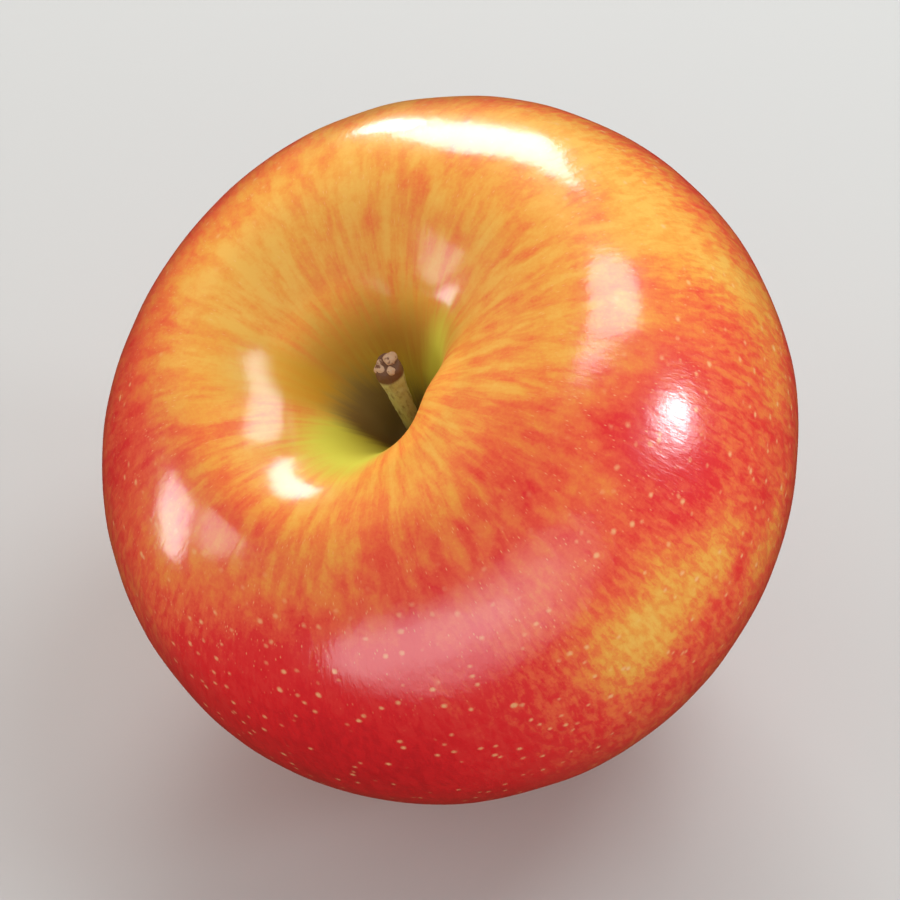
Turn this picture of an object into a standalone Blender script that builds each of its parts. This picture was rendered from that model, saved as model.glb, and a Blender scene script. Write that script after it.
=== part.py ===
"""A ripe dessert apple, lying tilted on a small flat spot: the fruit, its stalk and its dried calyx.

Every piece is modelled upright about the core axis and hangs on one empty that leans the core.
The whole stands on z = 0, with the middle of its bounding box over the origin.
"""
import math

import bmesh
import bpy
from mathutils import Matrix, Vector

MM = 0.001

# Driving sizes
WIDEST_RADIUS = 42.0 * MM
FITTING_GAP = 0.3 * MM
CORE_LEAN = math.radians(26.0)
LEAN_HEADING = math.radians(232.0)
FLAT_DEPTH = 2.0 * MM

# Half outline about the core axis, in shares of the widest radius: radius, height, and how far the
# ring stands off the axis along X and Y. It runs from the cavity floor over the shoulder and the
# widest girth to the floor of the calyx basin.
HALF_OUTLINE = (
    (0.062, 0.324, 0.000, 0.000), (0.108, 0.470, -0.008, 0.015), (0.167, 0.620, -0.022, 0.034),
    (0.236, 0.733, -0.036, 0.040), (0.341, 0.806, -0.035, 0.048), (0.477, 0.850, -0.020, 0.042),
    (0.610, 0.822, 0.012, 0.051), (0.762, 0.712, 0.019, 0.050), (0.892, 0.533, 0.019, 0.045),
    (0.972, 0.310, 0.019, 0.042), (1.000, 0.071, 0.019, 0.040), (0.960, -0.190, 0.018, 0.036),
    (0.857, -0.438, 0.016, 0.030), (0.708, -0.650, 0.013, 0.022), (0.537, -0.806, 0.009, 0.014),
    (0.372, -0.873, 0.005, 0.007), (0.257, -0.838, 0.002, 0.003), (0.180, -0.757, 0.000, 0.000),
    (0.124, -0.700, 0.000, 0.000), (0.086, -0.686, 0.000, 0.000),
)
WAIST_POINT = 3
SHOULDER_POINT = 5
GIRTH_POINT = 10
CROWN_POINT = 15
BASIN_WALL_POINT = 18
BASIN_POINT = 19
MERIDIANS = 64
OUTLINE_STEPS = 44

# How the grown fruit departs from round rings
OVAL_SHARE = 0.024
OVAL_HEADING = math.radians(49.0)
SHOULDER_RISE = 1.2 * MM
SHOULDER_RISE_HEADING = math.radians(-48.0)
SHOULDER_WAVES = 3
SHOULDER_WAVE = 0.5 * MM
SHOULDER_WAVE_HEADING = math.radians(86.0)
THROAT_OVAL_SHARE = 0.16
THROAT_OVAL_HEADING = math.radians(-30.0)
FLUTES = 5
FLUTE_SHARE = 0.030
FLUTE_HEADING = math.radians(50.0)
LOBES = 5
LOBE_SHARE = 0.010
LOBE_DROP = 0.9 * MM
LOBE_HEADING = math.radians(16.0)

# Sockets in the flesh that hold the stalk and the calyx
STALK_SOCKET_RADIUS = 1.55 * MM
STALK_SOCKET_DEPTH = 2.4 * MM
CALYX_SOCKET_RADIUS = 3.0 * MM
CALYX_SOCKET_DEPTH = 1.6 * MM

# Stalk, as distance from its root and radius
STALK_STATIONS = (
    (0.0 * MM, 1.20 * MM), (2.2 * MM, 1.22 * MM), (4.5 * MM, 1.18 * MM), (8.0 * MM, 1.22 * MM),
    (11.2 * MM, 1.32 * MM), (13.6 * MM, 1.48 * MM), (15.0 * MM, 1.70 * MM),
    (15.9 * MM, 1.72 * MM), (16.4 * MM, 1.42 * MM),
)
STALK_STEPS = 24
STALK_SIDES = 14
STALK_BOW = 3.6 * MM
STALK_HEADING = math.radians(88.0)
STALK_KNOBS = 3
STALK_KNOB_SHARE = 0.08
STALK_KNOB_HEADING = math.radians(-11.0)

# Dried calyx: a cup with five sepals folded together over it, and the old stamens inside. A sepal's
# stations give its distance from the core axis, its distance below the cup, and its half width.
CUP_RADIUS = CALYX_SOCKET_RADIUS - FITTING_GAP
CUP_WALL_HEIGHT = 1.2 * MM
CUP_MOUTH_SHARES = (0.7, 0.55)
CUP_FLOOR_HEIGHT = 0.36 * MM
CUP_SIDES = 20
SEPALS = 5
SEPAL_STATIONS = (
    (2.0 * MM, 0.0 * MM, 1.9 * MM), (2.9 * MM, 1.2 * MM, 1.8 * MM), (2.9 * MM, 2.6 * MM, 1.5 * MM),
    (2.2 * MM, 3.9 * MM, 1.1 * MM), (2.2 * MM, 5.0 * MM, 0.7 * MM), (3.1 * MM, 5.8 * MM, 0.4 * MM),
)
SEPAL_STEPS = 8
SEPAL_THICKNESS = 0.7 * MM
SEPAL_CURL_SHARE = 0.35
STAMENS = 6
STAMEN_SIDES = 6
STAMEN_RADIUS = 0.35 * MM
STAMEN_LENGTH = 3.4 * MM
STAMEN_CIRCLES = (0.7 * MM, 1.2 * MM)
STAMEN_HEADING = math.radians(18.0)

# Colour, roughness and metallic value of each piece
SKIN_LOOK = ((0.72, 0.10, 0.03, 1.0), 0.28, 0.0)
STALK_LOOK = ((0.22, 0.15, 0.06, 1.0), 0.75, 0.0)
CALYX_LOOK = ((0.10, 0.07, 0.04, 1.0), 0.85, 0.0)


def clear_scene():
    for old in list(bpy.data.objects):
        bpy.data.objects.remove(old, do_unlink=True)


def smooth_weight(value, start, end):
    """0 at start and 1 at end, with no corner between."""
    share = min(max((value - start) / (end - start), 0.0), 1.0)
    return share * share * (3.0 - 2.0 * share)


def curve_point(points, position):
    """The smooth curve through the points, with position counting points from 0."""
    index = min(int(position), len(points) - 2)
    share = position - index
    around = (points[max(index - 1, 0)], points[index], points[index + 1],
              points[min(index + 2, len(points) - 1)])
    result = []
    for a, b, c, d in zip(*around):
        bend = 2.0 * a - 5.0 * b + 4.0 * c - d
        twist = 3.0 * (b - c) + d - a
        result.append(0.5 * (2.0 * b + (c - a) * share + bend * share ** 2 + twist * share ** 3))
    return result


def curve_points(points, steps):
    last = len(points) - 1
    return [curve_point(points, last * step / steps) for step in range(steps + 1)]


def make_material(name, look):
    colour, roughness, metallic = look
    material = bpy.data.materials.new(name)
    material.use_nodes = True
    shader = material.node_tree.nodes["Principled BSDF"]
    shader.inputs["Base Color"].default_value = colour
    shader.inputs["Roughness"].default_value = roughness
    shader.inputs["Metallic"].default_value = metallic
    material.diffuse_color = colour
    return material


def make_object(name, builder):
    """A named object from a bmesh, facing out and shaded smooth."""
    bmesh.ops.recalc_face_normals(builder, faces=builder.faces)
    mesh = bpy.data.meshes.new(name)
    builder.to_mesh(mesh)
    builder.free()
    mesh.shade_smooth()
    mesh.set_sharp_from_angle(angle=math.radians(60.0))
    piece = bpy.data.objects.new(name, mesh)
    bpy.context.scene.collection.objects.link(piece)
    return piece


def sweep_rings(builder, rings):
    """Skin a run of closed rings of points, and close both ends."""
    loops = [[builder.verts.new(point) for point in ring] for ring in rings]
    count = len(rings[0])
    for lower, upper in zip(loops, loops[1:]):
        for index in range(count):
            after = (index + 1) % count
            builder.faces.new((lower[index], lower[after], upper[after], upper[index]))
    builder.faces.new(loops[0][::-1])
    builder.faces.new(loops[-1])


def round_ring(radius, height, count):
    """Points of a level circle about the core axis."""
    angles = [2.0 * math.pi * index / count for index in range(count)]
    return [Vector((radius * math.cos(angle), radius * math.sin(angle), height)) for angle in angles]


def skin_ring(position):
    """One ring of the skin, as uneven as the fruit grew, at a position along the half outline."""
    radius, height, east, north = (share * WIDEST_RADIUS for share in curve_point(HALF_OUTLINE, position))
    oval = smooth_weight(position, 0.0, SHOULDER_POINT) * smooth_weight(position, BASIN_POINT, CROWN_POINT)
    flute = smooth_weight(position, 0.0, WAIST_POINT)
    throat = flute * smooth_weight(position, SHOULDER_POINT, WAIST_POINT)
    flute *= smooth_weight(position, SHOULDER_POINT + 1, WAIST_POINT)
    rise = smooth_weight(position, 0.0, WAIST_POINT) * smooth_weight(position, GIRTH_POINT, SHOULDER_POINT)
    lobe = smooth_weight(position, GIRTH_POINT, CROWN_POINT)
    lobe *= smooth_weight(position, BASIN_WALL_POINT, CROWN_POINT)
    ring = []
    for point in round_ring(1.0, 0.0, MERIDIANS):
        angle = math.atan2(point.y, point.x)
        bulge = lobe * math.cos(LOBES * (angle - LOBE_HEADING))
        swell = 1.0 + OVAL_SHARE * oval * math.cos(2.0 * (angle - OVAL_HEADING)) + LOBE_SHARE * bulge
        swell -= FLUTE_SHARE * flute * math.cos(FLUTES * (angle - FLUTE_HEADING))
        swell -= THROAT_OVAL_SHARE * throat * math.cos(2.0 * (angle - THROAT_OVAL_HEADING))
        lift = SHOULDER_RISE * math.cos(angle - SHOULDER_RISE_HEADING)
        lift += SHOULDER_WAVE * math.cos(SHOULDER_WAVES * (angle - SHOULDER_WAVE_HEADING))
        middle = Vector((east, north, height + lift * rise - LOBE_DROP * bulge))
        ring.append(middle + radius * swell * point)
    return ring


def cut_flat_spot(builder, down):
    """Slice off the lowest part of the leaning fruit, and close the cut with one flat face."""
    lowest = max(vertex.co.dot(down) for vertex in builder.verts)
    everything = builder.verts[:] + builder.edges[:] + builder.faces[:]
    cut = bmesh.ops.bisect_plane(
        builder, geom=everything, dist=0.0001 * MM, plane_co=down * (lowest - FLAT_DEPTH),
        plane_no=down, clear_outer=True)
    rim = [item for item in cut["geom_cut"] if isinstance(item, bmesh.types.BMEdge)]
    bmesh.ops.contextual_create(builder, geom=rim)


def build_fruit(down):
    """Skin and flesh in one piece, with a socket at each end of the core."""
    cavity_floor = HALF_OUTLINE[0][1] * WIDEST_RADIUS
    basin_floor = HALF_OUTLINE[BASIN_POINT][1] * WIDEST_RADIUS
    skin = [skin_ring(BASIN_POINT * step / OUTLINE_STEPS) for step in range(OUTLINE_STEPS + 1)]
    stalk_socket = [round_ring(STALK_SOCKET_RADIUS, cavity_floor - STALK_SOCKET_DEPTH, MERIDIANS),
                    round_ring(STALK_SOCKET_RADIUS, cavity_floor, MERIDIANS)]
    calyx_socket = [round_ring(CALYX_SOCKET_RADIUS, basin_floor, MERIDIANS),
                    round_ring(CALYX_SOCKET_RADIUS, basin_floor + CALYX_SOCKET_DEPTH, MERIDIANS)]
    builder = bmesh.new()
    sweep_rings(builder, stalk_socket + skin + calyx_socket)
    cut_flat_spot(builder, down)
    return make_object("fruit", builder)


def build_stalk():
    """Woody stalk, straight in its socket, then bowed, with a knobbly cut end."""
    root = HALF_OUTLINE[0][1] * WIDEST_RADIUS - STALK_SOCKET_DEPTH + FITTING_GAP
    length = STALK_STATIONS[-1][0]
    sideways = Vector((math.cos(STALK_HEADING), math.sin(STALK_HEADING), 0.0))
    rings = []
    for along, radius in curve_points(STALK_STATIONS, STALK_STEPS):
        free = max(along - STALK_SOCKET_DEPTH, 0.0) / (length - STALK_SOCKET_DEPTH)
        middle = sideways * STALK_BOW * free ** 1.5 + Vector((0.0, 0.0, root + along))
        knob = STALK_KNOB_SHARE * smooth_weight(along, 0.6 * length, 0.9 * length)
        ring = []
        for point in round_ring(radius, 0.0, STALK_SIDES):
            angle = math.atan2(point.y, point.x)
            ring.append(middle + point * (1.0 + knob * math.cos(STALK_KNOBS * (angle - STALK_KNOB_HEADING))))
        rings.append(ring)
    builder = bmesh.new()
    sweep_rings(builder, rings)
    return make_object("stalk", builder)


def build_sepal(index):
    """One pointed leaf of the calyx, standing on the cup and curling out at its tip."""
    turn = Matrix.Rotation(2.0 * math.pi * index / SEPALS, 3, "Z")
    rings = []
    for out, below, half_width in curve_points(SEPAL_STATIONS, SEPAL_STEPS):
        rim = out - SEPAL_CURL_SHARE * half_width
        half_thickness = 0.5 * SEPAL_THICKNESS
        corners = ((rim, -half_width), (out + half_thickness, 0.0),
                   (rim, half_width), (out - half_thickness, 0.0))
        rings.append([turn @ Vector((x, y, -below)) for x, y in corners])
    builder = bmesh.new()
    sweep_rings(builder, rings)
    return make_object("sepal", builder)


def build_stamen(index):
    """One withered stamen, leaning out from the middle of the cup."""
    heading = STAMEN_HEADING + 2.0 * math.pi * index / STAMENS
    outwards = Vector((math.cos(heading), math.sin(heading), 0.0))
    rings = []
    for height, circle in zip((0.0, -STAMEN_LENGTH), STAMEN_CIRCLES):
        rings.append([point + outwards * circle for point in round_ring(STAMEN_RADIUS, height, STAMEN_SIDES)])
    builder = bmesh.new()
    sweep_rings(builder, rings)
    return make_object("stamen", builder)


def fuse(target, pieces):
    """Join the pieces to the target as one closed body, and remove them."""
    group = bpy.data.collections.new("fused")
    for piece in pieces:
        group.objects.link(piece)
    union = target.modifiers.new("fuse", "BOOLEAN")
    union.operation = "UNION"
    union.operand_type = "COLLECTION"
    union.collection = group
    union.solver = "EXACT"
    with bpy.context.temp_override(object=target, active_object=target):
        bpy.ops.object.modifier_apply(modifier=union.name)
    for piece in pieces:
        bpy.data.objects.remove(piece, do_unlink=True)
    bpy.data.collections.remove(group)


def build_calyx():
    """Dried flower end: a cup in the flesh, five sepals and a tuft of stamens, as one body."""
    mouth, throat = (CUP_RADIUS * share for share in CUP_MOUTH_SHARES)
    profile = ((CUP_RADIUS, CALYX_SOCKET_DEPTH - FITTING_GAP), (CUP_RADIUS, -CUP_WALL_HEIGHT),
               (mouth, -CUP_WALL_HEIGHT), (throat, -CUP_FLOOR_HEIGHT))
    builder = bmesh.new()
    sweep_rings(builder, [round_ring(radius, height, CUP_SIDES) for radius, height in profile])
    calyx = make_object("calyx", builder)
    sepals = [build_sepal(index) for index in range(SEPALS)]
    stamens = [build_stamen(index) for index in range(STAMENS)]
    fuse(calyx, sepals + stamens)
    calyx.location.z = HALF_OUTLINE[BASIN_POINT][1] * WIDEST_RADIUS
    return calyx


def lean_core():
    """The empty that carries the pieces, leaning as the fruit lies."""
    core = bpy.data.objects.new("core_axis", None)
    bpy.context.scene.collection.objects.link(core)
    hinge = Vector((-math.sin(LEAN_HEADING), math.cos(LEAN_HEADING), 0.0))
    core.rotation_euler = Matrix.Rotation(CORE_LEAN, 3, hinge).to_euler()
    bpy.context.view_layer.update()
    return core


def stand_on_origin(core, pieces):
    """Move the core so that the pieces' box stands on z = 0 with its middle over the origin."""
    bpy.context.view_layer.update()
    points = [piece.matrix_world @ vertex.co for piece in pieces for vertex in piece.data.vertices]
    for axis in range(2):
        spread = [point[axis] for point in points]
        core.location[axis] -= 0.5 * (min(spread) + max(spread))
    core.location.z -= min(point.z for point in points)


def main():
    clear_scene()
    core = lean_core()
    down = core.matrix_world.to_3x3().inverted() @ Vector((0.0, 0.0, -1.0))
    fruit = build_fruit(down)
    stalk = build_stalk()
    calyx = build_calyx()
    fruit.data.materials.append(make_material("skin", SKIN_LOOK))
    stalk.data.materials.append(make_material("stalk_wood", STALK_LOOK))
    calyx.data.materials.append(make_material("dry_calyx", CALYX_LOOK))
    for piece in (fruit, stalk, calyx):
        piece.parent = core
    stand_on_origin(core, (fruit, stalk, calyx))


main()
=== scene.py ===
"""A ripe dessert apple, lying tilted on the flat spot under it, dressed for a studio picture."""
import math
import random

import bpy
from mathutils import Matrix, Vector


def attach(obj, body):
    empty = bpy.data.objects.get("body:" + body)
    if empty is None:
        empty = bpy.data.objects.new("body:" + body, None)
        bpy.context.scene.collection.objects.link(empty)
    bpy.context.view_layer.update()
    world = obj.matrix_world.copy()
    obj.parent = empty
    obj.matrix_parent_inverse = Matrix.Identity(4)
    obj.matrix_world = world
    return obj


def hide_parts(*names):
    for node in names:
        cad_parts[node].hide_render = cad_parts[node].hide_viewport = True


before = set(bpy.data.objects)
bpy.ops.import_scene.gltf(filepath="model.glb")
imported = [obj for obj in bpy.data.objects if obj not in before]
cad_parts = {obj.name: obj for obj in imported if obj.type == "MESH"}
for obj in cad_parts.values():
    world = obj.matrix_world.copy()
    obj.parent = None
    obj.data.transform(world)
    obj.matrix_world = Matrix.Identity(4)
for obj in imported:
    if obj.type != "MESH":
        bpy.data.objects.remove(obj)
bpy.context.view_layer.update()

# The fruit: firm flesh under a thin waxed skin, all one body as it grew. The skin is yellow where
# leaves shaded it, and blushed red in streaks and patches where the sun reached it. Its far rim is
# also painted paler, as painted light from the window behind. Pale pores dot it, and the cavity
# that the stalk grows from is green, with a russet floor.
MM = 0.001
FRUIT_RADIUS = 42.0 * MM
CORE_PLACE = Vector((0.27 * MM, -0.33 * MM, 39.27 * MM))
CORE_LEAN = math.radians(26.0)
LEAN_HEADING = math.radians(232.0)
CORE_TURN = Matrix.Rotation(CORE_LEAN, 4, (-math.sin(LEAN_HEADING), math.cos(LEAN_HEADING), 0.0))
MERGE_DISTANCE = 0.01 * MM
SKIN_SUBDIVISIONS = 2
SKIN_DIMPLE_WIDTH = 11.0 * MM
SKIN_DIMPLE_DEPTH = 0.35 * MM

# Patches of the blush. Each has its middle in degrees from the stalk end and in degrees round the
# core, then how many degrees of the skin it reaches down and round, and how much it reddens it.
BLUSH_PATCHES = (
    ("sunned lower side", 78, -106, 50, 64, 0.72),
    ("sunned near shoulder", 41, -80, 18, 38, 0.32),
    ("sunned near lip", 28, -72, 12, 38, 0.16),
    ("sunned left lip", 33, -138, 12, 26, 0.22),
    ("sunned shoulder on the right", 34, -36, 14, 27, 0.28),
    ("sunned right side", 47, -22, 15, 20, 0.36),
    ("leaf shadow on the right", 65, -45, 15, 26, -0.47),
    ("strip down the right cheek", 73, 14, 14, 25, -0.32),
    ("foot of that strip", 84, -22, 9, 15, -0.22),
    ("pale strip on the right", 64, 16, 11, 15, -0.34),
    ("pale far cheek", 50, 57, 13, 18, -0.34),
    # This patch is painted light: it pales the far rim where the window behind would light it.
    ("far rim paled by painted window light", 68, 88, 20, 50, -0.62),
    ("pale left rim", 68, -170, 13, 22, -0.16),
    ("shaded right cheek", 54, 32, 19, 25, -0.44),
    ("shaded far shoulder", 46, 88, 18, 27, -0.26),
    ("shaded left shoulder", 34, 140, 22, 28, -0.16),
    ("sunned left cheek", 44, -180, 20, 24, 0.28),
    ("sunned far cheek", 110, 80, 50, 60, 0.18),
    ("leaf shadow behind", 108, 176, 34, 30, -0.30),
    ("shaded calyx end", 170, 0, 36, 40, -0.30),
)
BLUSH_AT_STALK = 0.22
BLUSH_AT_GIRTH = 0.58
BLUSH_RISE = (math.radians(30), math.radians(62))
DEEPEST_BLUSH = 1.50
SKIN_COLOURS = (
    (0.00, (0.89, 0.47, 0.085, 1.0)),
    (0.20, (0.88, 0.36, 0.055, 1.0)),
    (0.38, (0.87, 0.21, 0.045, 1.0)),
    (0.55, (0.85, 0.107, 0.041, 1.0)),
    (0.75, (0.79, 0.029, 0.026, 1.0)),
    (1.00, (0.76, 0.010, 0.016, 1.0)),
    (DEEPEST_BLUSH, (0.52, 0.003, 0.010, 1.0)),
)

# Patterns in the blush. Streaks have their number in a turn round the core and their length in
# radians down the skin. The others have how fine they are, to the radius of the fruit.
BANDS = (40, 0.60)
NEAR_STREAKS = (72, 0.120)
NEAR_STREAK_EDGES = (0.32, 0.68)
FAR_STREAKS = (300, 0.055)
FAR_STREAK_EDGES = (0.34, 0.66)
NEAR_TO_FAR = (0.60, 1.10)
WAVER_SCALE = 2.6
WAVER_REACH = 0.35
BLOTCH_SCALE = 8.0
MOTTLE_SCALE = 26.0
GRAIN_SCALE = 120.0
BAND_STRENGTH = 0.30
BLOTCH_STRENGTH = 0.16
STREAK_STRENGTH = 0.24
MOTTLE_STRENGTH = 0.25
GRAIN_STRENGTH = 0.20

# Specks: pale pores from the shoulder down, and pale dashes that run down the shoulder. They start
# and end at these angles from the stalk end, in radians.
PORE_COLOUR = (0.94, 0.52, 0.22, 1.0)
PORE_SPACING = 2.1 * MM
PORE_RADIUS = 0.46 * MM
PORES_START = (0.50, 0.90)
DASHES = (84, 0.130)
DASH_RADIUS = 0.30
DASHES_START = (0.34, 0.60)
DASHES_END = (0.80, 1.15)
DASHES_IN_MOTTLE = (0.46, 0.60)
SPECK_STRENGTH = 0.75
SPECK_UNEVENNESS = 0.35

# Sides of the stalk cavity. Each has its middle in degrees round the core, then the cosines of the
# angles from there at which the side starts and is full.
FAR_SIDE = (100, -0.2, 0.6)
NEAR_SIDE = (-35, 0.2, 0.8)
LOW_SIDE = (-118, 0.30, 0.95)
LOWEST_SIDE = (-118, 0.40, 0.95)
RIGHT_SIDE = (28, 0.74, 0.98)
FOLD_SHADING_SIDE = (166, 0.940, 0.995)
RUSSET_SIDE = (165, 0.2, 1.0)
DULL_SIDE = (130, 0.50, 0.95)

# Colours of the cavity. Each is full up to the first distance out from the core and gone at the
# second, in radii of the fruit. On some sides it reaches further out, or less far.
STALK_HALF = (0.10, 0.30)
EDGE_RAGGEDNESS = 0.018
TAN_COLOUR = (0.50, 0.28, 0.035, 1.0)
TAN_REACH = (0.20, 0.33)
TAN_STRENGTH = 0.85
# The ochre of the fold is painted light and shade: it draws a fold of the left wall that the shape
# lacks.
OCHRE_FOLD_SHADING = (0.66, 0.34, 0.015, 1.0)
FOLD_SHADING_REACH = (0.30, 0.52)
FOLD_SHADING_STRENGTH = 0.60
GREEN_COLOUR = (0.72, 0.70, 0.08, 1.0)
GREEN_REACH = (0.06, 0.21)
GREEN_LESS_NEAR = 0.14
GREEN_MORE_LOW = 0.15
GREEN_MORE_RIGHT = 0.105
GREEN_STRENGTH = 0.95
RUSSET_COLOUR = (0.27, 0.17, 0.065, 1.0)
RUSSET_REACH = (0.060, 0.140)
RUSSET_MORE_LEFT = 0.070
RUSSET_LESS_LOW = 0.060
RUSSET_STRENGTH = 0.92
DULL_REACH = (0.20, 0.29)
DULL_MORE_BEHIND = 0.09

# The wax on the skin, and the small relief under it.
SKIN_ROUGHNESS = 0.34
DULL_ROUGHNESS = 0.60
WAX_WEIGHT = 1.0
SKIN_RELIEF = 0.07 * MM
MOTTLE_RELIEF = 0.7
STREAK_RELIEF_RISE = (0.45, 0.90)
STREAK_RELIEF_AT_STALK = 0.08
STREAK_RELIEF_AT_GIRTH = 0.50


def refined_copy(node_name, piece_name, subdivisions):
    """A new piece on the merged mesh of a node, turned back to quads and subdivided."""
    bpy.ops.object.select_all(action="DESELECT")
    piece = bpy.data.objects.new(piece_name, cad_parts[node_name].data.copy())
    bpy.context.scene.collection.objects.link(piece)
    bpy.context.view_layer.objects.active = piece
    piece.select_set(True)
    piece.data.materials.clear()
    bpy.ops.object.mode_set(mode="EDIT")
    bpy.ops.mesh.select_all(action="SELECT")
    bpy.ops.mesh.remove_doubles(threshold=MERGE_DISTANCE)
    bpy.ops.mesh.tris_convert_to_quads()
    bpy.ops.mesh.customdata_custom_splitnormals_clear()
    bpy.ops.object.mode_set(mode="OBJECT")
    smoother = piece.modifiers.new("smoother", "SUBSURF")
    smoother.levels = subdivisions
    smoother.render_levels = subdivisions
    bpy.ops.object.modifier_apply(modifier=smoother.name)
    bpy.ops.object.shade_smooth()
    return piece


def dimple(piece, name, width, depth):
    """Press soft uneven hollows of that width into the piece, and never outwards."""
    cloud = bpy.data.textures.new(name, "CLOUDS")
    cloud.noise_scale = width
    cloud.noise_depth = 1
    press = piece.modifiers.new(name, "DISPLACE")
    press.texture = cloud
    press.texture_coords = "LOCAL"
    press.mid_level = 1.0
    press.strength = depth
    bpy.ops.object.modifier_apply(modifier=press.name)


fruit = refined_copy("fruit", "ripe_fruit", SKIN_SUBDIVISIONS)
dimple(fruit, "skin_dimples", SKIN_DIMPLE_WIDTH, SKIN_DIMPLE_DEPTH)


def new_material(name):
    """A material and its tree, with nothing but the surface shader and the output."""
    material = bpy.data.materials.new(name)
    material.use_nodes = True
    return material, material.node_tree


def add_node(tree, kind, inputs, **settings):
    """One node, with its settings, and each input given a value or another node's output."""
    made = tree.nodes.new(kind)
    for name, value in settings.items():
        setattr(made, name, value)
    for key, value in inputs.items():
        if isinstance(value, bpy.types.NodeSocket):
            tree.links.new(value, made.inputs[key])
        else:
            made.inputs[key].default_value = value
    return made


def work_out(tree, operation, first, second):
    return add_node(tree, "ShaderNodeMath", {0: first, 1: second}, operation=operation).outputs[0]


def combine(tree, operation, first, second=(0.0, 0.0, 0.0), output="Vector"):
    made = add_node(tree, "ShaderNodeVectorMath", {0: first, 1: second}, operation=operation)
    return made.outputs[output]


def stretch(tree, vector, times):
    """The vector, that many times as long."""
    stretched = combine(tree, "SCALE", vector)
    stretched.node.inputs["Scale"].default_value = times
    return stretched


def ease(tree, value, start, end, low=0.0, high=1.0):
    """From low at start to high at end, with no corner between, and level beyond them."""
    inputs = {"Value": value, "From Min": start, "From Max": end, "To Min": low, "To Max": high}
    made = add_node(tree, "ShaderNodeMapRange", inputs, interpolation_type="SMOOTHSTEP")
    return made.outputs["Result"]


def fade_out(tree, value, reach, strength=1.0):
    """The strength up to where the reach starts, and nothing beyond its end."""
    return ease(tree, value, *reach, strength, 0.0)


def swing(tree, pattern, strength):
    """That much of a pattern, moved from about a half so that it goes to either side of 0."""
    return work_out(tree, "MULTIPLY", work_out(tree, "SUBTRACT", pattern, 0.5), strength)


def tint(tree, share, under, over):
    """The colour under, with that share of the colour over on it."""
    inputs = {0: share, 6: under, 7: over}
    return add_node(tree, "ShaderNodeMix", inputs, data_type="RGBA").outputs[2]


def noise(tree, place, scale, detail, roughness, distortion=0.0):
    inputs = {"Vector": place, "Scale": scale, "Detail": detail, "Roughness": roughness,
              "Distortion": distortion}
    return add_node(tree, "ShaderNodeTexNoise", inputs).outputs["Fac"]


def raise_relief(tree, height, strength, depth):
    """Small relief on the surface, that deep where the height is 1."""
    inputs = {"Strength": strength, "Distance": depth, "Height": height}
    normal = add_node(tree, "ShaderNodeBump", inputs).outputs["Normal"]
    tree.links.new(normal, tree.nodes["Principled BSDF"].inputs["Normal"])
    return normal


def place_about_core(tree, unit):
    """Where a point is from the middle of the core, turned upright, in lengths of unit."""
    here = tree.nodes.new("ShaderNodeTexCoord").outputs["Object"]
    inputs = {"Vector": here, "Location": CORE_PLACE, "Rotation": CORE_TURN.to_euler(),
              "Scale": (unit, unit, unit)}
    return add_node(tree, "ShaderNodeMapping", inputs, vector_type="TEXTURE").outputs["Vector"]


def patch(tree, direction, from_stalk, heading, reach_down, reach_round, strength):
    """A soft oval patch of the skin, strength in its middle and 0 at its edge."""
    axes = Matrix.Rotation(math.radians(heading), 3, "Z")
    axes = axes @ Matrix.Rotation(math.radians(from_stalk), 3, "Y")
    half_length = 2.0 * math.sin(math.radians(reach_down) / 2)
    half_width = math.sin(math.radians(reach_round))
    inputs = {"Vector": direction, "Location": axes @ Vector((0.0, 0.0, 1.0)),
              "Rotation": axes.to_euler(), "Scale": (half_length, half_width, 1.0)}
    local = add_node(tree, "ShaderNodeMapping", inputs, vector_type="TEXTURE").outputs["Vector"]
    return ease(tree, combine(tree, "LENGTH", local, output="Value"), 0.0, 1.0, strength, 0.0)


def along_the_skin(tree, heading, polar, count, length):
    """A place that counts up to count in a turn round the core, and by one each length down it."""
    round_about = stretch(tree, heading, count / (2.0 * math.pi))
    steps = work_out(tree, "MULTIPLY", polar, 1.0 / length)
    down = add_node(tree, "ShaderNodeCombineXYZ", {"Z": steps}).outputs[0]
    return combine(tree, "ADD", round_about, down)


def streaks(tree, heading, polar, count, length, detail):
    """Uneven lines that run from the stalk end to the calyx end, count of them in a turn."""
    return noise(tree, along_the_skin(tree, heading, polar, count, length), 1.0, detail, 0.6, 0.25)


def on_side(tree, heading, side, strength=1.0):
    """The strength on that side of the core, and nothing away from it."""
    middle, start, full = side
    turn = math.radians(middle)
    side_heading = (math.cos(turn), math.sin(turn), 0.0)
    nearness = combine(tree, "DOT_PRODUCT", heading, side_heading, output="Value")
    return ease(tree, nearness, start, full, 0.0, strength)


skin, tree = new_material("waxed_skin")
place = place_about_core(tree, FRUIT_RADIUS)
level = combine(tree, "MULTIPLY", place, (1.0, 1.0, 0.0))
heading = combine(tree, "NORMALIZE", level)
out_from_core = combine(tree, "LENGTH", level, output="Value")
up_the_core = combine(tree, "DOT_PRODUCT", place, (0.0, 0.0, 1.0), output="Value")
polar = work_out(tree, "ARCTAN2", out_from_core, up_the_core)
waver = add_node(tree, "ShaderNodeTexNoise", {"Vector": place, "Scale": WAVER_SCALE, "Detail": 3.0})
waver = combine(tree, "SUBTRACT", waver.outputs["Color"], (0.5, 0.5, 0.5))
direction = combine(tree, "NORMALIZE", place)
direction = combine(tree, "ADD", direction, stretch(tree, waver, WAVER_REACH))
blush = ease(tree, polar, *BLUSH_RISE, BLUSH_AT_STALK, BLUSH_AT_GIRTH)
for name, *where in BLUSH_PATCHES:
    blush = work_out(tree, "ADD", patch(tree, direction, *where), blush)
    blush.node.label = name
bands = streaks(tree, heading, polar, *BANDS, 2.0)
near_lines = ease(tree, streaks(tree, heading, polar, *NEAR_STREAKS, 3.0), *NEAR_STREAK_EDGES)
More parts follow.
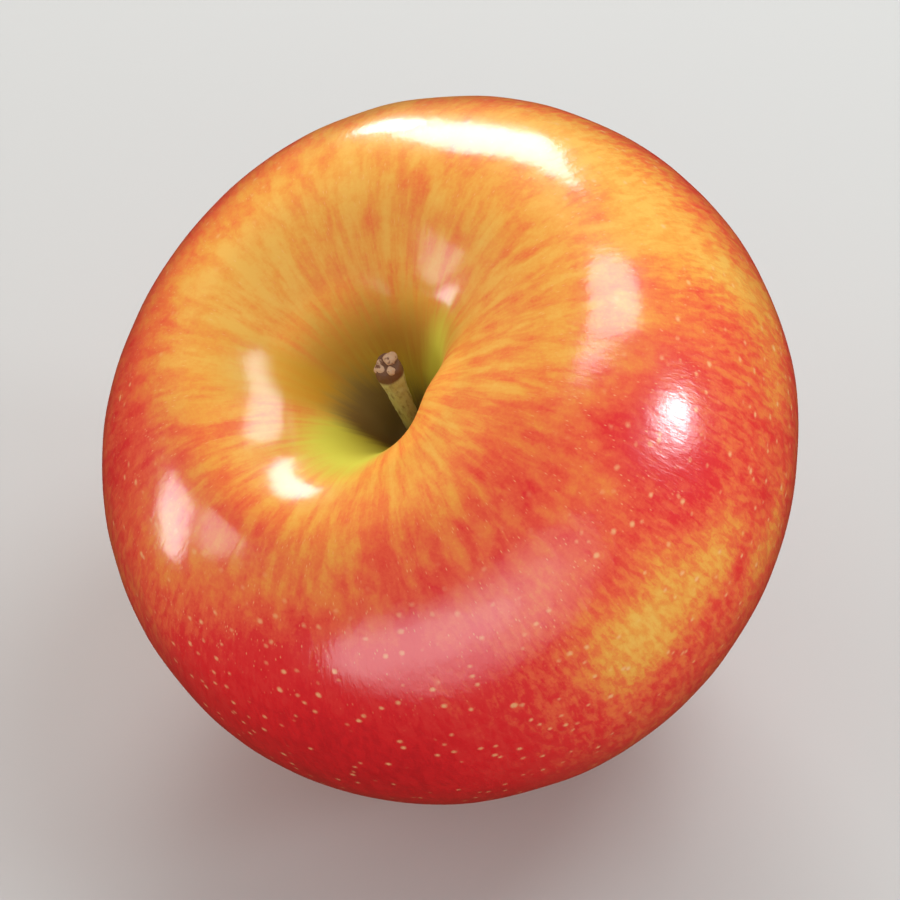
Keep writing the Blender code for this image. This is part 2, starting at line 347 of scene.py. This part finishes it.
far_lines = ease(tree, streaks(tree, heading, polar, *FAR_STREAKS, 3.0), *FAR_STREAK_EDGES)
both = {0: ease(tree, polar, *NEAR_TO_FAR), 2: near_lines, 3: far_lines}
lines = add_node(tree, "ShaderNodeMix", both).outputs[0]
blotches = noise(tree, place, BLOTCH_SCALE, 2.0, 0.5)
mottle = noise(tree, place, MOTTLE_SCALE, 3.0, 0.6)
grain = noise(tree, place, GRAIN_SCALE, 2.0, 0.6)
patterns = ((bands, BAND_STRENGTH), (blotches, BLOTCH_STRENGTH), (lines, STREAK_STRENGTH),
            (mottle, MOTTLE_STRENGTH), (grain, GRAIN_STRENGTH))
for pattern, strength in patterns:
    blush = work_out(tree, "ADD", blush, swing(tree, pattern, strength))
depth_of_blush = work_out(tree, "DIVIDE", blush, DEEPEST_BLUSH)
ramp = add_node(tree, "ShaderNodeValToRGB", {"Fac": depth_of_blush})
stops = ramp.color_ramp.elements
stops.remove(stops[1])
for index, (position, colour) in enumerate(SKIN_COLOURS):
    stop = stops[0] if index == 0 else stops.new(position / DEEPEST_BLUSH)
    stop.position = position / DEEPEST_BLUSH
    stop.color = colour
colour = ramp.outputs["Color"]
uneven = swing(tree, mottle, SPECK_UNEVENNESS)
pores = {"Vector": place, "Scale": FRUIT_RADIUS / PORE_SPACING}
pores = add_node(tree, "ShaderNodeTexVoronoi", pores).outputs["Distance"]
pore = work_out(tree, "ADD", pores, uneven)
pore = fade_out(tree, pore, (0.0, PORE_RADIUS / PORE_SPACING))
pore = work_out(tree, "MULTIPLY", pore, ease(tree, polar, *PORES_START, 0.0, SPECK_STRENGTH))
dashes = {"Vector": along_the_skin(tree, heading, polar, *DASHES)}
dashes = add_node(tree, "ShaderNodeTexVoronoi", dashes).outputs["Distance"]
dash = work_out(tree, "ADD", dashes, uneven)
dash = fade_out(tree, dash, (0.0, DASH_RADIUS))
dash = work_out(tree, "MULTIPLY", dash, ease(tree, mottle, *DASHES_IN_MOTTLE))
dash = work_out(tree, "MULTIPLY", dash, ease(tree, polar, *DASHES_START, 0.0, SPECK_STRENGTH))
dash = work_out(tree, "MULTIPLY", dash, fade_out(tree, polar, DASHES_END))
colour = tint(tree, work_out(tree, "MAXIMUM", pore, dash), colour, PORE_COLOUR)

# Down the stalk cavity the skin is tan on the far side. An ochre band on the left wall is painted
# light and shade of a fold that the shape doesn't have. Below these it turns yellow-green, then to
# russet round the stalk, and at the back it has no wax.
stalk_half = ease(tree, up_the_core, *STALK_HALF)
edge = work_out(tree, "ADD", out_from_core, swing(tree, near_lines, EDGE_RAGGEDNESS))
tan = on_side(tree, heading, FAR_SIDE, TAN_STRENGTH)
tan = work_out(tree, "MULTIPLY", fade_out(tree, edge, TAN_REACH), tan)
colour = tint(tree, work_out(tree, "MULTIPLY", tan, stalk_half), colour, TAN_COLOUR)
fold_shading = on_side(tree, heading, FOLD_SHADING_SIDE, FOLD_SHADING_STRENGTH)
fold_shading = work_out(tree, "MULTIPLY", fold_shading, fade_out(tree, edge, FOLD_SHADING_REACH))
colour = tint(tree, work_out(tree, "MULTIPLY", fold_shading, stalk_half), colour, OCHRE_FOLD_SHADING)
green_edge = work_out(tree, "ADD", edge, on_side(tree, heading, NEAR_SIDE, GREEN_LESS_NEAR))
greener = work_out(tree, "MAXIMUM", on_side(tree, heading, LOW_SIDE, GREEN_MORE_LOW),
                   on_side(tree, heading, RIGHT_SIDE, GREEN_MORE_RIGHT))
green_edge = work_out(tree, "SUBTRACT", green_edge, greener)
green = fade_out(tree, green_edge, GREEN_REACH, GREEN_STRENGTH)
colour = tint(tree, work_out(tree, "MULTIPLY", green, stalk_half), colour, GREEN_COLOUR)
russet_edge = on_side(tree, heading, RUSSET_SIDE, RUSSET_MORE_LEFT)
russet_edge = work_out(tree, "SUBTRACT", edge, russet_edge)
less_russet = on_side(tree, heading, LOWEST_SIDE, RUSSET_LESS_LOW)
russet_edge = work_out(tree, "ADD", russet_edge, less_russet)
russet = fade_out(tree, russet_edge, RUSSET_REACH, RUSSET_STRENGTH)
colour = tint(tree, work_out(tree, "MULTIPLY", russet, stalk_half), colour, RUSSET_COLOUR)
dull_edge = on_side(tree, heading, DULL_SIDE, DULL_MORE_BEHIND)
dull_edge = work_out(tree, "SUBTRACT", out_from_core, dull_edge)
dull = work_out(tree, "MULTIPLY", fade_out(tree, dull_edge, DULL_REACH), stalk_half)
roughness = ease(tree, dull, 0.0, 1.0, SKIN_ROUGHNESS, DULL_ROUGHNESS)
surface = tree.nodes["Principled BSDF"]
tree.links.new(colour, surface.inputs["Base Color"])
tree.links.new(roughness, surface.inputs["Roughness"])
tree.links.new(ease(tree, dull, 0.0, 1.0, WAX_WEIGHT, 0.0), surface.inputs["Coat Weight"])
surface.inputs["IOR"].default_value = 1.45
surface.inputs["Specular IOR Level"].default_value = 0.25
surface.inputs["Coat Roughness"].default_value = 0.17
surface.inputs["Coat IOR"].default_value = 1.7
streak_relief = ease(tree, polar, *STREAK_RELIEF_RISE, STREAK_RELIEF_AT_STALK,
                     STREAK_RELIEF_AT_GIRTH)
relief = work_out(tree, "MULTIPLY", lines, streak_relief)
relief = work_out(tree, "ADD", relief, work_out(tree, "MULTIPLY", mottle, MOTTLE_RELIEF))
normal = raise_relief(tree, relief, 0.5, SKIN_RELIEF)
tree.links.new(normal, surface.inputs["Coat Normal"])
fruit.data.materials.append(skin)
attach(fruit, "root")
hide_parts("fruit")

# The stalk: a woody stem, bowed, that broke off its spur when the fruit was picked. It keeps a
# thin grey-green bark, browner at the root, and ends in knobs of pale bare wood between brown
# creases.
STALK_SUBDIVISIONS = 2
BARK_WRINKLE_WIDTH = 0.9 * MM
BARK_WRINKLE_DEPTH = 0.18 * MM
BARK_GREEN = (0.58, 0.55, 0.24, 1.0)
BARK_BROWN = (0.26, 0.17, 0.07, 1.0)
BARK_RELIEF = 0.15 * MM
BROWN_ROOT = (14.0, 20.0)
BROKEN_END = (26.4, 26.9)
STALK_END = Vector((0.13 * MM, 3.60 * MM, 27.60 * MM))
KNOBS = 5
KNOB_CIRCLE = 0.90 * MM
KNOB_RADIUS = 0.98 * MM
KNOB_RISE = 0.4 * MM
KNOB_FLATNESS = 0.8
SCAR_DENT_WIDTH = 0.8 * MM
SCAR_DENT_DEPTH = 0.28 * MM
SCAR_PALE = (0.54, 0.34, 0.20, 1.0)
SCAR_BROWN = (0.16, 0.07, 0.03, 1.0)
SCAR_RELIEF = 0.10 * MM

stalk = refined_copy("stalk", "woody_stalk", STALK_SUBDIVISIONS)
dimple(stalk, "bark_wrinkles", BARK_WRINKLE_WIDTH, BARK_WRINKLE_DEPTH)
bark, tree = new_material("stalk_bark")
place = place_about_core(tree, MM)
grain = noise(tree, combine(tree, "MULTIPLY", place, (1.0, 1.0, 0.25)), 2.2, 4.0, 0.6)
height = combine(tree, "DOT_PRODUCT", place, (0.0, 0.0, 1.0), output="Value")
bark_colour = tint(tree, ease(tree, grain, 0.46, 0.78), BARK_GREEN, BARK_BROWN)
bark_colour = tint(tree, fade_out(tree, height, BROWN_ROOT, 0.85), bark_colour, BARK_BROWN)
bark_colour = tint(tree, ease(tree, height, *BROKEN_END), bark_colour, SCAR_BROWN)
surface = tree.nodes["Principled BSDF"]
tree.links.new(bark_colour, surface.inputs["Base Color"])
surface.inputs["Roughness"].default_value = 0.60
raise_relief(tree, grain, 0.7, BARK_RELIEF)
stalk.data.materials.append(bark)
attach(stalk, "root")
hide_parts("stalk")


def join_up(pieces, name):
    """The pieces as one piece, its place in its mesh."""
    bpy.ops.object.select_all(action="DESELECT")
    for piece in pieces:
        piece.select_set(True)
    bpy.context.view_layer.objects.active = pieces[0]
    bpy.ops.object.join()
    bpy.ops.object.transform_apply(location=True, rotation=True, scale=True)
    bpy.context.object.name = name
    return bpy.context.object


random.seed(4)
knobs = []
for index in range(KNOBS):
    turn = 2.0 * math.pi * (index + random.uniform(-0.3, 0.3)) / KNOBS
    out = KNOB_CIRCLE * random.uniform(0.75, 1.05)
    rise = KNOB_RISE * random.uniform(-1.2, 0.3)
    spot = STALK_END + Vector((out * math.cos(turn), out * math.sin(turn), rise))
    size = KNOB_RADIUS * random.uniform(0.65, 1.15)
    bpy.ops.mesh.primitive_uv_sphere_add(segments=24, ring_count=14, radius=size,
                                         location=CORE_PLACE + CORE_TURN @ spot)
    bpy.context.object.scale.z = KNOB_FLATNESS
    knobs.append(bpy.context.object)
scar = join_up(knobs, "picking_scar")
dimple(scar, "scar_dents", SCAR_DENT_WIDTH, SCAR_DENT_DEPTH)
bpy.ops.object.shade_smooth()
scar_wood, tree = new_material("scar_wood")
grain = noise(tree, place_about_core(tree, MM), 1.3, 4.0, 0.6)
scar_colour = tint(tree, ease(tree, grain, 0.52, 0.64), SCAR_PALE, SCAR_BROWN)
surface = tree.nodes["Principled BSDF"]
tree.links.new(scar_colour, surface.inputs["Base Color"])
surface.inputs["Roughness"].default_value = 0.7
raise_relief(tree, grain, 0.6, SCAR_RELIEF)
scar.data.materials.append(scar_wood)
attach(scar, "root")
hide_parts("stalk")

# The calyx: what is left of the flower, dried brown. A cup in the flesh holds five folded, furry
# sepals and a tuft of withered stamens. It grew there with the fruit.
CALYX_SUBDIVISIONS = 1
SEPAL_WRINKLE_WIDTH = 0.7 * MM
SEPAL_WRINKLE_DEPTH = 0.30 * MM
DRY_BROWN = (0.12, 0.07, 0.035, 1.0)
FURRY_GREY = (0.33, 0.28, 0.20, 1.0)
DRY_RELIEF = 0.15 * MM
CUP_FLOOR = -29.2 * MM
STAMENS = 17
STAMEN_TURN = 2.4
TUFT_RADIUS = 1.25 * MM
STAMEN_RADIUS = 0.13 * MM
STAMEN_LENGTH = 3.0 * MM
STAMEN_LEAN = 0.35
STAMEN_TWIST = 0.6
ANTHER_RADIUS = 0.24 * MM

calyx = refined_copy("calyx", "dried_sepals", CALYX_SUBDIVISIONS)
dimple(calyx, "sepal_wrinkles", SEPAL_WRINKLE_WIDTH, SEPAL_WRINKLE_DEPTH)
dry_leaf, tree = new_material("dry_leaf")
grain = noise(tree, place_about_core(tree, MM), 1.6, 5.0, 0.7)
dry_colour = tint(tree, ease(tree, grain, 0.42, 0.66), DRY_BROWN, FURRY_GREY)
surface = tree.nodes["Principled BSDF"]
tree.links.new(dry_colour, surface.inputs["Base Color"])
surface.inputs["Roughness"].default_value = 0.85
surface.inputs["Sheen Weight"].default_value = 0.3
raise_relief(tree, grain, 0.8, DRY_RELIEF)
calyx.data.materials.append(dry_leaf)
tuft = []
for index in range(STAMENS):
    turn = STAMEN_TURN * index
    out = TUFT_RADIUS * math.sqrt((index + 0.5) / STAMENS)
    root = Vector((out * math.cos(turn), out * math.sin(turn), CUP_FLOOR))
    twisted = turn + STAMEN_TWIST
    lean = Vector((STAMEN_LEAN * math.cos(twisted), STAMEN_LEAN * math.sin(twisted), -1.0))
    tip = root + lean * random.uniform(0.8, 1.0) * STAMEN_LENGTH
    along = CORE_TURN @ tip - CORE_TURN @ root
    bpy.ops.mesh.primitive_cylinder_add(vertices=8, radius=STAMEN_RADIUS, depth=along.length,
                                        location=CORE_PLACE + CORE_TURN @ ((root + tip) / 2),
                                        rotation=along.to_track_quat("Z", "Y").to_euler())
    tuft.append(bpy.context.object)
    bpy.ops.mesh.primitive_uv_sphere_add(segments=10, ring_count=6, radius=ANTHER_RADIUS,
                                         location=CORE_PLACE + CORE_TURN @ tip)
    tuft.append(bpy.context.object)
stamens = join_up(tuft, "withered_stamens")
bpy.ops.object.shade_smooth()
stamens.data.materials.append(dry_leaf)
for piece in (calyx, stamens):
    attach(piece, "root")
    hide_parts("calyx")

# The floor: a plain pale board, wider than any view of the fruit.
FLOOR_SIZE = 4.0
FLOOR_COLOUR = (0.50, 0.49, 0.47, 1.0)
bpy.ops.object.select_all(action="DESELECT")
bpy.ops.mesh.primitive_plane_add(size=FLOOR_SIZE)
floor = bpy.context.object
floor.name = "studio_floor"
floor_paint, tree = new_material("floor_paint")
tree.nodes["Principled BSDF"].inputs["Base Color"].default_value = FLOOR_COLOUR
tree.nodes["Principled BSDF"].inputs["Roughness"].default_value = 0.8
floor.data.materials.append(floor_paint)
floor.visible_glossy = False

# The light: a broad window behind with a narrow pane at its foot, a small lamp with its glow and a
# high strip on the right, a tall panel and a dim window on the left, and three long panels in
# front, each within the last. Three broad fills light the shade, and the skin doesn't mirror them.
DAYLIGHT = (0.93, 0.97, 1.0)
LAMPLIGHT = (0.84, 0.95, 1.0)
SKYLIGHT = (0.86, 0.96, 1.0)
PANEL_LIGHT = (0.82, 0.93, 0.97)
FILL_LIGHT = (1.0, 0.96, 0.93)

# Each lamp faces the fruit. It has its bearing, height angle and distance, its width, height and
# roll, its outline, power and colour, and whether it is mirrored.
LIGHTS = (
    ("window_behind", (179, 33, 0.80), (0.44, 0.38, 14), "RECTANGLE", 4.0, DAYLIGHT, True),
    ("window_foot", (193, 12, 0.80), (0.13, 0.22, 14), "RECTANGLE", 0.7, DAYLIGHT, True),
    ("small_lamp", (83, 20, 0.80), (0.15, 0.17, 0), "ELLIPSE", 1.1, LAMPLIGHT, True),
    ("small_lamp_glow", (83, 18, 0.82), (0.30, 0.34, 0), "ELLIPSE", 0.7, LAMPLIGHT, True),
    ("high_strip", (117, 60, 0.80), (0.34, 0.56, 0), "ELLIPSE", 2.2, SKYLIGHT, True),
    ("left_panel", (-88, -5, 0.80), (0.22, 0.42, 0), "ELLIPSE", 1.2, SKYLIGHT, True),
    ("left_window", (-71, 12, 0.80), (0.22, 0.36, 0), "ELLIPSE", 0.42, LAMPLIGHT, True),
    ("front_panel", (6, -3, 0.90), (1.70, 0.76, 24), "ELLIPSE", 2.3, PANEL_LIGHT, True),
    ("front_middle", (0, -5, 0.85), (1.25, 0.50, 22), "ELLIPSE", 1.2, PANEL_LIGHT, True),
    ("front_strip", (-8, -7, 0.80), (0.85, 0.28, 20), "ELLIPSE", 0.7, PANEL_LIGHT, True),
    ("left_fill", (-104, 22, 1.00), (1.00, 1.00, 0), "RECTANGLE", 3.4, FILL_LIGHT, False),
    ("right_fill", (84, 14, 1.00), (0.80, 0.80, 0), "RECTANGLE", 1.1, FILL_LIGHT, False),
    ("front_fill", (-12, 26, 1.00), (1.00, 1.00, 0), "RECTANGLE", 0.8, FILL_LIGHT, False),
)
AMBIENT_LIGHT = (1.0, 0.97, 0.95, 1.0)
MIRRORED_LIGHT = (0.30, 0.05, 0.03, 1.0)
AMBIENT_STRENGTH = 0.48
for name, where, size, outline, power, light_colour, mirrored in LIGHTS:
    bearing, height_angle, distance = where
    width, height, roll = size
    turn = math.radians(bearing)
    rise = math.radians(height_angle)
    level_share = math.cos(rise)
    towards = Vector((math.sin(turn) * level_share, -math.cos(turn) * level_share, math.sin(rise)))
    lamp = bpy.data.lights.new(name, "AREA")
    lamp.shape = outline
    lamp.size = width
    lamp.size_y = height
    lamp.energy = power
    lamp.color = light_colour
    holder = bpy.data.objects.new(name, lamp)
    holder.location = CORE_PLACE + towards * distance
    facing = towards.to_track_quat("Z", "Y").to_matrix()
    facing = facing @ Matrix.Rotation(math.radians(roll), 3, "Z")
    holder.rotation_euler = facing.to_euler()
    holder.visible_camera = False
    holder.visible_glossy = mirrored
    bpy.context.scene.collection.objects.link(holder)

# The air mirrors dark red in the skin, as fruit all round it would, and lights it warm white.
world = bpy.data.worlds.new("studio_air")
world.use_nodes = True
tree = world.node_tree
background = tree.nodes["Background"]
in_a_mirror = tree.nodes.new("ShaderNodeLightPath").outputs["Is Glossy Ray"]
air = tint(tree, in_a_mirror, AMBIENT_LIGHT, MIRRORED_LIGHT)
tree.links.new(air, background.inputs["Color"])
background.inputs["Strength"].default_value = AMBIENT_STRENGTH
bpy.context.scene.world = world
bpy.context.scene.view_settings.view_transform = "Standard"

# The camera: it looks down on the fruit from the front, through a long lens.
CAMERA_HEIGHT_ANGLE = math.radians(49.0)
CAMERA_DISTANCE = 345.0 * MM
CAMERA_AIM = Vector((-0.16 * MM, 1.86 * MM, 41.17 * MM))
LENS = 114.3
SENSOR_WIDTH = 36.0
away = Vector((0.0, -math.cos(CAMERA_HEIGHT_ANGLE), math.sin(CAMERA_HEIGHT_ANGLE)))
lens = bpy.data.cameras.new("camera")
lens.lens = LENS
lens.sensor_width = SENSOR_WIDTH
camera = bpy.data.objects.new("camera", lens)
camera.location = CAMERA_AIM + away * CAMERA_DISTANCE
camera.rotation_euler = away.to_track_quat("Z", "Y").to_euler()
bpy.context.scene.collection.objects.link(camera)
bpy.context.scene.camera = camera
